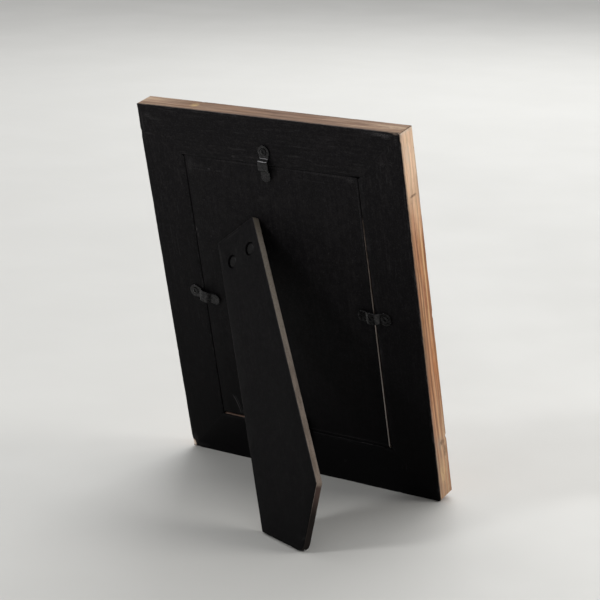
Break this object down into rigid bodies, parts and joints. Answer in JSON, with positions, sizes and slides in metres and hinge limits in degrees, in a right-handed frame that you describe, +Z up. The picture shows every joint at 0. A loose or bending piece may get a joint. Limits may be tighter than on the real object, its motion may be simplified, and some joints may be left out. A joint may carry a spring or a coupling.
{
  "type": "table picture frame",
  "caption": "Leaning wooden table picture frame, black-painted back, held-in backing board with turn buttons and a hinged easel leg.",
  "frame": {"origin": "centre of the object's footprint on the table, on the table surface, in the standing portrait position with the leg open", "axes": "+Z up, glass faces -Y, back and easel leg face +Y, +X to the left as seen from behind"},
  "size_m": [0.193, 0.1326, 0.2403],
  "materials": {
    "pine_black_back": "waxed reclaimed pine edges and front, black-stained back",
    "black_fibreboard": "matt black paint on fibreboard with raw brown edges",
    "black_metal": "satin black coated steel",
    "steel": "plain drawn steel",
    "clear_glass": "clear float glass",
    "print_paper": null,
    "kraft_card": "brown corrugated card"
  },
  "bodies": {
    "frame": {"rail_top": "pine_black_back", "rail_bottom": "pine_black_back", "rail_left": "pine_black_back", "rail_right": "pine_black_back", "corner_v_nails": "steel", "glass": "clear_glass", "picture_print": "print_paper", "filler_card": "kraft_card", "backing_board": "black_fibreboard", "hinge_bracket": "black_metal", "hinge_bracket_rivets": "black_metal", "hinge_pin": "steel", "turn_button_screws": "black_metal"},
    "leg": {"easel_leg": "black_fibreboard", "leg_hinge_leaf": "black_metal", "leg_rivets": "black_metal"},
    "button_top": {"turn_button_top": "black_metal"},
    "button_bottom": {"turn_button_bottom": "black_metal"},
    "button_left": {"turn_button_left": "black_metal"},
    "button_right": {"turn_button_right": "black_metal"}
  },
  "joints": [
    {"name": "leg_fold", "type": "hinge", "parent": "frame", "child": "leg", "pos_m": [0.0246, -0.01596, 0.15554], "axis": [-0.8121, 0.1243, 0.5701], "range_deg": [0, 32.5]},
    {"name": "turn_button_top_swivel", "type": "hinge", "parent": "frame", "child": "button_top", "pos_m": [0.0019, -0.00443, 0.21596], "axis": [0, 0.977, -0.213], "continuous": true},
    {"name": "turn_button_bottom_swivel", "type": "hinge", "parent": "frame", "child": "button_bottom", "pos_m": [0, -0.04695, 0.02095], "axis": [0, 0.977, -0.213], "continuous": true},
    {"name": "turn_button_left_swivel", "type": "hinge", "parent": "frame", "child": "button_left", "pos_m": [0.072, -0.02626, 0.11582], "axis": [0, 0.977, -0.213], "continuous": true},
    {"name": "turn_button_right_swivel", "type": "hinge", "parent": "frame", "child": "button_right", "pos_m": [-0.072, -0.02566, 0.11855], "axis": [0, 0.977, -0.213], "continuous": true}
  ]
}
